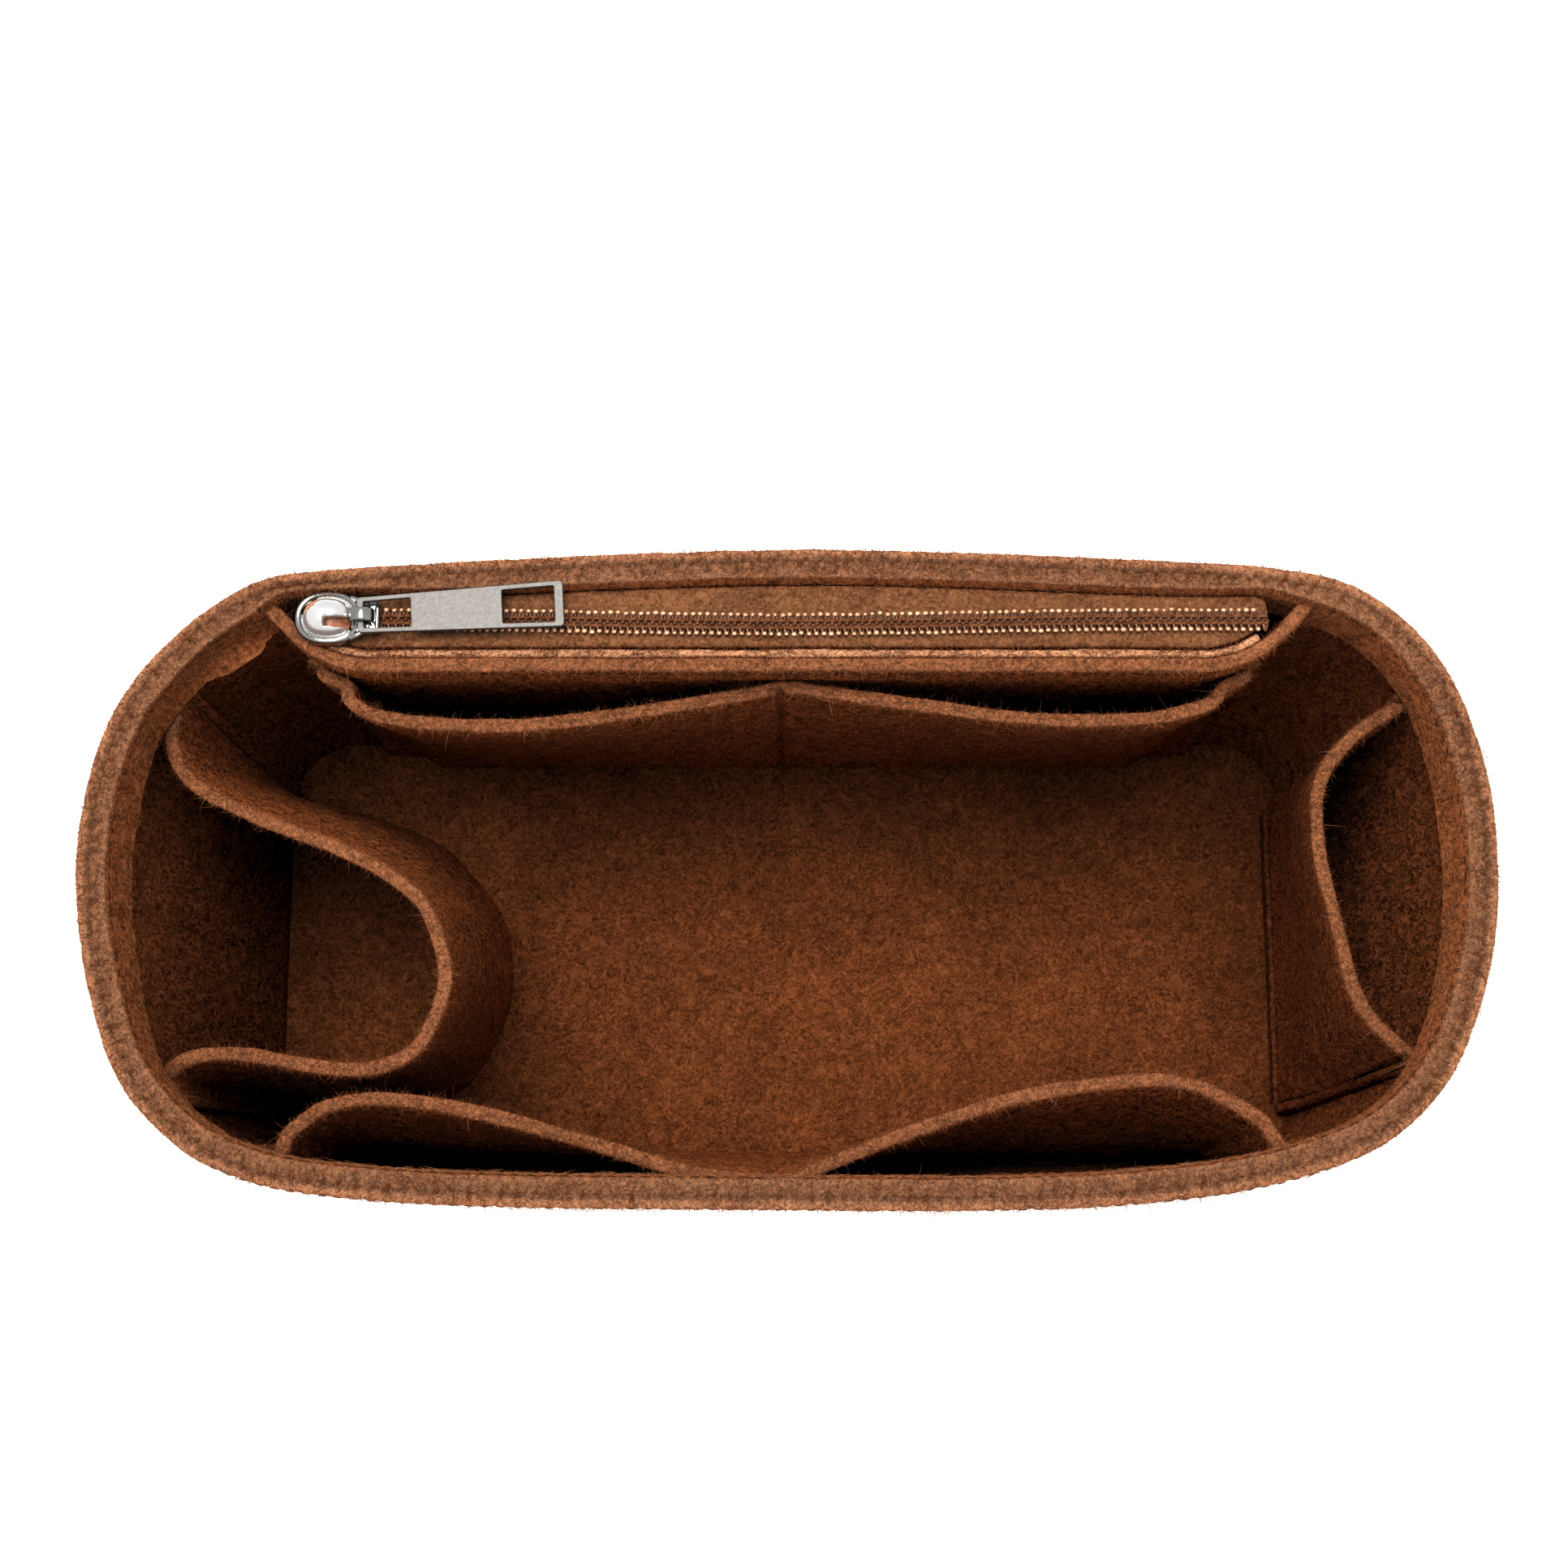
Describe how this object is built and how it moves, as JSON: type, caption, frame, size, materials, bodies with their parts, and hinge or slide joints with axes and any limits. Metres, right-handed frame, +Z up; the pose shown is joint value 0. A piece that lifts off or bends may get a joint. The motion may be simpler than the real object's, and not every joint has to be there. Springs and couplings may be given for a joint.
{
  "type": "purse organizer insert",
  "caption": "Brown felt purse organizer insert with a zipped back pocket, slip pockets on the inside and an upright bottle loop",
  "frame": {"origin": "centre of the underside of the base, on the surface that the insert stands on", "axes": "+X runs along the length to the end with the plain end pocket, +Y to the wall with the zip, +Z up out of the open top"},
  "size_m": [0.2616, 0.1234, 0.1429],
  "materials": {
    "felt": "matte brown needled felt with a short nap and lighter cut edges",
    "zip_tape": "brown woven polyester tape",
    "zip_coil": "brown nylon coil with small glints",
    "slider_metal": "bright polished zinc casting",
    "pull_metal": "silver metal, brushed along its length",
    "thread": "brown sewing thread"
  },
  "bodies": {
    "organizer": {"base_panel": "felt", "wall_band": "felt", "rim_facing": "felt", "zip_pocket_panel": "felt", "zip_facing": "felt", "back_slip_pocket": "felt", "front_slip_pocket": "felt", "end_pocket": "felt", "bottle_loop": "felt", "zip_tape_rear": "zip_tape", "zip_tape_front": "zip_tape", "zip_coil_rear": "zip_coil", "zip_coil_front": "zip_coil", "rim_thread_outside": "thread", "rim_thread_inside": "thread", "base_thread": "thread", "zip_thread_front": "thread", "zip_thread_rear": "thread", "back_pocket_thread_right": "thread", "back_pocket_thread_middle": "thread", "back_pocket_thread_left": "thread", "front_pocket_thread_left": "thread", "front_pocket_thread_middle": "thread", "front_pocket_thread_right": "thread", "end_pocket_thread_front": "thread", "end_pocket_thread_back": "thread", "loop_thread_back": "thread", "loop_thread_front": "thread"},
    "slider": {"slider_body": "slider_metal", "slider_crown": "slider_metal"},
    "pull": {"pull_tab": "pull_metal"}
  },
  "joints": [
    {"name": "slider_travel", "type": "slide", "parent": "organizer", "child": "slider", "axis": [1, 0, 0], "range_m": [0, 0.162]},
    {"name": "pull_swing", "type": "hinge", "parent": "slider", "child": "pull", "pos_m": [-0.0793, 0.0478, 0.1408], "axis": [0.061, -0.9981, 0], "range_deg": [0, 160]}
  ]
}
